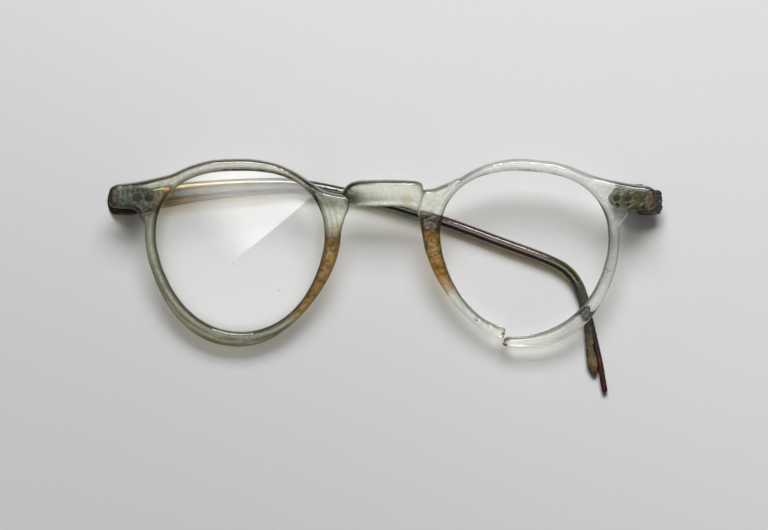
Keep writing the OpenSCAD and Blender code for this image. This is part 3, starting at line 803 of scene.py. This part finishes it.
# %% The sweep tree
def sweep_tree():
    tree = bpy.data.node_groups.new("sweep", "GeometryNodeTree")
    face = tree.interface
    face.new_socket("Path", in_out="INPUT", socket_type="NodeSocketGeometry")
    for name, kind in (("Rings", "Int"), ("Sides", "Int"), ("Squareness", "Float"), ("End rounding", "Float"),
                       ("Lump depth", "Float"), ("Lump size", "Float"), ("Decay starts", "Float"),
                       ("Decay depth", "Float"), ("Sound", "Material"), ("Decayed", "Material")):
        face.new_socket(name, in_out="INPUT", socket_type="NodeSocket" + kind)
    face.new_socket("Sweep", in_out="OUTPUT", socket_type="NodeSocketGeometry")
    g = Graph(tree)
    asked = g.node("NodeGroupInput", out="Path")
    curve = g.node("GeometryNodeMeshToCurve", sockets={0: asked})
    curve = g.node("GeometryNodeCurveSplineType", {"spline_type": "CATMULL_ROM"}, {0: curve})
    curve = g.node("GeometryNodeSetSplineResolution", sockets={0: curve, "Resolution": 10})
    grid = g.node("GeometryNodeMeshGrid", sockets={
        "Size X": 1.0, "Size Y": 1.0, "Vertices X": asked.out("Rings"), "Vertices Y": asked.out("Sides") + 1})
    chart = grid.out("UV Map")
    grid = g.node("GeometryNodeStoreNamedAttribute", {"data_type": "FLOAT2", "domain": "CORNER"},
                  {"Geometry": grid, "Name": "UVMap", "Value": chart})
    along = g.node("ShaderNodeSeparateXYZ", sockets={0: chart})
    turn = along.out("Y") * (2 * math.pi)

    def carried(name):
        """A value that the path's points carry, at this ring."""
        value = g.node("GeometryNodeInputNamedAttribute", {"data_type": "FLOAT"}, {"Name": name})
        values = {"Curves": curve, "Value": value, "Factor": along}
        return g.node("GeometryNodeSampleCurve", {"mode": "FACTOR", "use_all_curves": True}, values)

    def squared(wave):
        return wave.math("ABSOLUTE").math("POWER", asked.out("Squareness")) * wave.math("SIGN")

    half_width = carried("half_width")
    tangent = half_width.out("Tangent")
    upright = g.node("ShaderNodeCombineXYZ", sockets={2: 1.0})
    flat = upright.vector("CROSS_PRODUCT", tangent).vector("NORMALIZE")
    up = tangent.vector("CROSS_PRODUCT", flat)
    twist = carried("twist")
    level, tilt = twist.math("COSINE"), twist.math("SINE")
    across = flat.vector("MULTIPLY", level).vector("ADD", up.vector("MULTIPLY", tilt))
    over = up.vector("MULTIPLY", level).vector("SUBTRACT", flat.vector("MULTIPLY", tilt))
    near_end = along.math("MINIMUM", 1 - along) / asked.out("End rounding")
    cap = (1 - (1 - near_end.math("MINIMUM", 1.0)).math("POWER", 2.0)).math("SQRT")
    x = squared(turn.math("COSINE")) * half_width * cap
    y = squared(turn.math("SINE")) * carried("half_thickness") * cap
    place = half_width.out("Position").vector("ADD", across.vector("MULTIPLY", x)).vector(
        "ADD", over.vector("MULTIPLY", y))
    body = g.node("GeometryNodeSetPosition", sockets={"Geometry": grid, "Position": place})
    body = g.node("GeometryNodeMergeByDistance", sockets={0: body, "Distance": 0.02 * MM})
    point = g.node("GeometryNodeInputPosition")
    lumps = g.node("ShaderNodeTexNoise", sockets={"Vector": point, "Scale": 1 / (MM * asked.out("Lump size")),
                                                  "Detail": 3.0})
    wide_lumps = g.node("ShaderNodeTexNoise", sockets={"Vector": point, "Scale": 700.0, "Detail": 5.0,
                                                       "Roughness": 0.7})
    where = g.node("GeometryNodeInputNamedAttribute", {"data_type": "FLOAT_VECTOR"}, {"Name": "UVMap"})
    where = g.node("ShaderNodeSeparateXYZ", sockets={0: where})
    rot = (where - asked.out("Decay starts")).ramp(-0.02, 0.05)
    push = (lumps - 0.5) * asked.out("Lump depth") + (wide_lumps - 0.52) * asked.out("Decay depth") * rot
    normal = g.node("GeometryNodeInputNormal")
    body = g.node("GeometryNodeSetPosition", sockets={"Geometry": body, "Offset": normal.vector(
        "MULTIPLY", push * MM)})
    body = g.node("GeometryNodeRealizeInstances", sockets={0: body})
    body = g.node("GeometryNodeSetMaterial", sockets={"Geometry": body, "Material": asked.out("Sound")})
    ragged = where + (wide_lumps - 0.5) * 0.12
    limits = {0: ragged, 1: asked.out("Decay starts")}
    decayed = g.node("FunctionNodeCompare", {"operation": "GREATER_THAN"}, limits)
    body = g.node("GeometryNodeSetMaterial", sockets={"Geometry": body, "Selection": decayed,
                                                      "Material": asked.out("Decayed")})
    body = g.node("GeometryNodeSetShadeSmooth", sockets={0: body})
    g.node("NodeGroupOutput", sockets={"Sweep": body})
    return tree


sweep = sweep_tree()
print("the sweep tree has", len(sweep.nodes), "nodes")


# %% Running a tree on a path
PATH_ORIGIN = np.array((-0.64, 5.89, 0.0))


def path_mesh(name, stations):
    """A line through stations [x, y, z, half width, half thickness, twist], in mm and degrees."""
    rows = np.array(stations, float)
    mesh = bpy.data.meshes.new(name)
    places = (rows[:, :3] + PATH_ORIGIN) * MM
    mesh.from_pydata(places.tolist(), [(i, i + 1) for i in range(len(rows) - 1)], [])
    for label, values in (("half_width", rows[:, 3] * MM), ("half_thickness", rows[:, 4] * MM),
                          ("twist", np.radians(rows[:, 5]))):
        mesh.attributes.new(label, "FLOAT", "POINT").data.foreach_set("value", values.astype(np.float32))
    return mesh


def grown(name, start, tree, values):
    """A piece grown from a start mesh by a node tree, as a plain mesh."""
    piece = bpy.data.objects.new(name, start)
    bpy.context.scene.collection.objects.link(piece)
    modifier = piece.modifiers.new("grow", "NODES")
    modifier.node_group = tree
    for item in tree.interface.items_tree:
        if item.in_out == "INPUT" and item.name in values:
            modifier[item.identifier] = values[item.name]
    piece.update_tag()
    bpy.context.view_layer.update()
    made = bpy.data.meshes.new_from_object(piece.evaluated_get(bpy.context.evaluated_depsgraph_get()))
    piece.modifiers.clear()
    piece.data = made
    made.name = name
    print(name, "has", len(made.vertices), "points,", len(made.polygons), "faces")
    return piece


# %% [markdown]
# ## The whole temple
# The sleeve is the same clear plastic as the front, but it has gone amber at the wide end and smoky
# along its length, and its tail has dried out, split and crumbled to an ochre crust. The wire inside
# has turned purple brown. It shows through the sleeve, magnified, because a round clear rod is a lens.
# Past the split the wire runs bare, grey first and rusty at its tip. Colour follows the length, read
# from the position across the glasses and down the tail.

# %% Finish of the sound plastic
amber = Finish("purple_brown_plastic")
x_mm = amber.parts(amber.mm)[0]
patch = amber.noise(amber.mm, 2.2, 4.0, 0.6)
grainy = amber.noise(amber.mm, 0.5, 4.0)
length_tint = amber.painted(
    (242, 208, 78),
    (x_mm.ramp(-34.0, -22.0), (118, 138, 104)),
    (x_mm.ramp(6.0, 14.0), (158, 134, 104)),
    (x_mm.ramp(33.0, 41.0), (146, 164, 104)),
    (x_mm.ramp(-56.0, -49.0, 1.0, 0.0), (52, 44, 22)),
    (patch.ramp(0.45, 0.75) * 0.35, (90, 76, 46)))
amber.done({"Base Color": length_tint, "Roughness": grainy.ramp(0.3, 0.7, 0.05, 0.16),
            "Normal": amber.bump(grainy, 0.03, 0.4), "Specular IOR Level": 0.15,
            "Transmission Weight": 0.96, "IOR": 1.49}, lets_light_through=(0.4, 0.34, 0.24))

# %% Finish of the decayed tail
rotten = Finish("decayed_plastic")
strands = rotten.noise(rotten.turned(rotten.mm, (0, 0, 0), (0, 0, -0.12), (0.22, 2.4, 0.6)), 1.0, 5.0, 0.65)
crust = rotten.noise(rotten.mm, 0.7, 5.0, 0.7)
down_tail = rotten.parts(rotten.mm)[1]
crumbled = crust.ramp(0.5, 0.75) * down_tail.ramp(-22.0, -14.0, 0.9, 0.15)
crust_tint = rotten.painted(
    (24, 18, 11),
    (strands.ramp(0.38, 0.62), (106, 86, 52)),
    (crumbled, (160, 124, 56)),
    (down_tail.ramp(-17.0, -9.0) * 0.8, (34, 42, 30)))
rotten.done({"Base Color": crust_tint, "Roughness": crust.ramp(0.2, 0.8, 0.45, 0.9),
             "Normal": rotten.bump(strands * 0.7 + crust * 0.5, 0.26, 1.0)})

# %% Finish of the wire
rust = Finish("rusted_wire")
flake = rust.noise(rust.mm, 0.5, 5.0, 0.7)
bloom = rust.noise(rust.mm, 2.4, 3.0)
wire_x, wire_y, _ = rust.parts(rust.mm)
sheltered = wire_y.ramp(-6.0, 0.0)
purple_brown = rust.painted((34, 16, 16), (flake.ramp(0.35, 0.65), (64, 38, 38)))
wire_tint = rust.painted(
    (34, 20, 18),
    (flake.ramp(0.35, 0.7), (80, 48, 40)),
    (bloom.ramp(0.5, 0.7) * 0.5, (120, 74, 50)),
    (wire_y.ramp(-21.0, -15.0) * 0.85, (44, 44, 42)),
    (wire_x.ramp(4.0, 10.0) * sheltered, purple_brown))
rust.done({"Base Color": wire_tint, "Metallic": flake.ramp(0.3, 0.6, 0.5, 0.15) * (1 - sheltered),
           "Roughness": flake.ramp(0.3, 0.7, 0.22, 0.5), "Normal": rust.bump(flake, 0.06, 0.7),
           "Specular IOR Level": 0.05})

# %% Stations of the sleeve and the wire
def beside_front(u, v, w):
    """A point beside the front, in the frame that the stations are given in."""
    return on_table(np.array(u), np.array(v), np.array(w)) / MM - PATH_ORIGIN


SLEEVE = [[*beside_front(-u, 9.8, -3.9), 3, 1.35, 10.4] for u in (64, 61, 57)] + [
    [-49.5, 12.3, 1.62, 2.6, 1.3, 8], [-41.5, 13.4, 1.45, 2.3, 1.25, 4], [-30, 14.3, 1.3, 2.05, 1.25, 1],
    [-20, 14.5, 1.25, 1.75, 1.25, 0], [-8.5, 12.8, 1.25, 1.4, 1.25, 0], [3, 10, 1.25, 1.25, 1.25, 0],
    [15.3, 6, 1.25, 1.25, 1.25, 0], [27, 1.7, 1.25, 1.25, 1.25, 0], [38, -2.4, 1.25, 1.25, 1.25, 0],
    [42.4, -5.1, 1.25, 1.3, 1.25, 0], [45, -9, 1.2, 1.25, 1.15, 0], [46.4, -14.5, 1, 1.05, 0.93, 0],
    [47.1, -20, 0.93, 0.95, 0.88, 0], [47.3, -24, 0.92, 0.9, 0.88, 0], [47.9, -26.5, 0.94, 1.1, 0.9, 0],
    [48.6, -28.6, 0.9, 0.45, 0.5, 0]]
WIRE = [(-50.5, 12.2, 1.6), (-41.5, 13.4, 1.42), (-30, 14.3, 1.3), (-20, 14.5, 1.25), (-8.5, 12.8, 1.25),
        (3, 10, 1.25), (15.3, 6, 1.25), (27, 1.7, 1.25), (38, -2.4, 1.25), (42.4, -5.1, 1.25), (45, -9, 1.2),
        (47, -14.8, 1), (48.3, -20.2, 0.94), (49.4, -25, 0.92), (50.1, -29, 0.9), (50.7, -32.5, 0.72)]

for name, path in (("sleeve", SLEEVE), ("wire", WIRE)):
    print(name, "runs", round(sum(math.dist(a[:3], b[:3]) for a, b in zip(path, path[1:])), 1), "mm")

# %% Make the wire and the sleeve
WIRE_RADIUS = 0.66
WIRE_WIDTHS = [1.05, 1.05, 1.0, 0.85, 0.75] + [WIRE_RADIUS] * 11
wire_path = path_mesh("wire_path", [[*p, wide, WIRE_RADIUS, 0] for p, wide in zip(WIRE, WIRE_WIDTHS)])
temple_wire = grown("temple_wire", wire_path, sweep, {
    "Rings": 420, "Sides": 20, "Squareness": 1.0, "End rounding": 0.004, "Lump depth": 0.03, "Lump size": 1.2,
    "Decay starts": 0.86, "Decay depth": 0.1, "Sound": rust.material, "Decayed": rust.material})
temple_sleeve = grown("temple_sleeve", path_mesh("sleeve_path", SLEEVE), sweep, {
    "Rings": 520, "Sides": 40, "Squareness": 0.95, "End rounding": 0.006, "Lump depth": 0.05,
    "Lump size": 2.5, "Decay starts": 0.845, "Decay depth": 0.95,
    "Sound": amber.material, "Decayed": rotten.material})


# %% Cut the sleeve's butt to its bevel
OUT_OF_BEVEL = (-2.7, 0.0, 3.5)


def sliced(piece, point, outward):
    """Cuts a closed mesh with a plane, drops the outer side and closes the cut."""
    work = bmesh.new()
    work.from_mesh(piece.data)
    cut = bmesh.ops.bisect_plane(work, geom=work.verts[:] + work.edges[:] + work.faces[:], plane_co=point,
                                 plane_no=outward, clear_outer=True)
    rim = [e for e in cut["geom_cut"] if isinstance(e, bmesh.types.BMEdge)]
    skin_slot = rim[0].link_faces[0].material_index
    for face in bmesh.ops.edgeloop_fill(work, edges=rim)["faces"]:
        face.material_index = skin_slot
    bmesh.ops.recalc_face_normals(work, faces=work.faces[:])
    work.to_mesh(piece.data)
    work.free()
    piece.data.set_sharp_from_angle(angle=math.radians(50))
    print(piece.name, "cut; now", len(piece.data.polygons), "faces")


butt_point = Vector(on_table(np.array(-59.25), np.array(9.8), np.array(-2.55)).tolist())
sliced(temple_sleeve, butt_point, front_direction(*OUT_OF_BEVEL).normalized())
for piece, node, slot in ((temple_sleeve, "right_temple_sleeve", "temple_plastic"),
                          (temple_wire, "right_temple_core_wire", "core_wire_metal")):
    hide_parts(node)
    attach(piece, "right_temple")

# %% [markdown]
# ## The stub
# Of the other temple only a short block is left on its hinge. Its broken inner end is jagged, and its
# plastic has gone dark, dull and pitted. It is one solid with a rough surface, so the same distance
# fields that made the front make it, this time with pits worn into its butt.

# %% Finish of the stub
sooty = Finish("pitted_dark_plastic")
pit = sooty.noise(sooty.mm, 0.45, 5.0, 0.7)
wide = sooty.noise(sooty.mm, 2.0, 3.0)
stub_tint = sooty.painted(
    (20, 18, 16),
    (pit.ramp(0.35, 0.65), (54, 51, 47)),
    (wide.ramp(0.5, 0.75) * 0.6, (50, 38, 24)),
    (sooty.noise(sooty.mm, 0.3, 2.0).ramp(0.62, 0.7) * 0.8, (150, 146, 138)))
sooty.done({"Base Color": stub_tint, "Roughness": pit.ramp(0.3, 0.7, 0.35, 0.75),
            "Normal": sooty.bump(pit, 0.15, 0.9)})

# %% Make the stub
STUB_OPEN = math.radians(21)
PIN_U, PIN_W = 58.2, -1.25
STUB = [(56.9, 7.3), (57.8, 6.8), (61.5, 6.8), (62.8, 7.3), (63.3, 8.4), (63.3, 11.2), (62.8, 12.3),
        (61.5, 12.8), (53, 12.8), (52.3, 12.3), (52.5, 12), (51.9, 11.2), (52.6, 10.6), (53.5, 10.3),
        (54.2, 9.7), (55.4, 9.5), (55.6, 8.7), (56.8, 8.3)]


def stub_field(u, v, w):
    """Signed distance to the stub as if folded flat behind the front."""
    pits = 0.03 * wavering(u, v, w, 1.4, 21) + 0.03 * wavering(u, v, w, 0.6, 22)
    block = rounded(outline(softened(STUB, 1), u, v) + 0.08, slab(w, -5.2, -2.6), 0.75) + pits
    bevel = ((u - 59.25) * 2.7 + (w + 2.55) * 3.5) / 4.42
    block = rounded(block, bevel + 0.06 + pits * 0.8, 0.2)
    for ru in (52.9, 55.4):
        block = carve(block, np.maximum(np.hypot(u - ru, v - 11.9) - 0.78, w + 4.6))
    return block


places, quads = surface_net(stub_field, (51.0, 6.2, -5.6), (63.9, 13.4, -2.2), 0.14)
from_pin_u, from_pin_w = places[:, 0] - PIN_U, places[:, 2] - PIN_W
c, s = math.cos(STUB_OPEN), math.sin(STUB_OPEN)
swung = on_table(PIN_U + from_pin_u * c - from_pin_w * s, places[:, 1], PIN_W + from_pin_u * s + from_pin_w * c)
stub_block = mesh_piece("stub_block", swung, quads, [sooty.material])
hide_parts("left_temple_stub")
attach(stub_block, "left_stub")

# %% [markdown]
# ## Old metal
# The hinge leaves are brass that has tarnished brown and bloomed green where damp sat against the
# plastic. The rivets and screws have corroded almost black. Their shapes are exact in the CAD model, so
# those meshes stay, and only their finish is added here.


# %% Finishes of the metal
def tarnished(name, dark, bright, bloom_colour, bloom_share, metal, damp_side=0.0):
    """Tarnished metal: bright and dark patches, powdery bloom, and a darker side where it stayed damp."""
    finish = Finish(name)
    patches = finish.noise(finish.mm, 0.9, 5.0, 0.65)
    powder = finish.noise(finish.mm, 0.35, 4.0, 0.7)
    blooming = finish.noise(finish.mm, 1.7, 4.0).ramp(0.62 - bloom_share, 0.72 - bloom_share * 0.5)
    tint = finish.painted(
        dark,
        (patches.ramp(0.35, 0.65), bright),
        (finish.parts(finish.mm)[0].ramp(-20.0, 20.0, damp_side, 0.0), (58, 66, 52)),
        (blooming * powder.ramp(0.3, 0.6, 0.5, 1.0), bloom_colour))
    return finish.done({"Base Color": tint, "Metallic": (1 - blooming) * metal,
                        "Roughness": powder.ramp(0.3, 0.7, 0.35, 0.7) + blooming * 0.15,
                        "Normal": finish.bump(powder, 0.04, 0.6)})


METALS = {
    "leaf": tarnished("tarnished_brass", (52, 44, 20), (146, 128, 62), (84, 98, 66),
                      bloom_share=0.2, metal=0.3, damp_side=0.7),
    "rivet": tarnished("blackened_rivet", (16, 15, 13), (44, 42, 38), (40, 46, 40),
                       bloom_share=0.05, metal=0.2),
    "screw": tarnished("dull_screw", (58, 50, 40), (120, 112, 98), (104, 70, 44),
                       bloom_share=0.1, metal=0.7),
}
for name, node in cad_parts.items():
    for word, metal in METALS.items():
        if word in name:
            node.data.materials.clear()
            node.data.materials.append(metal)
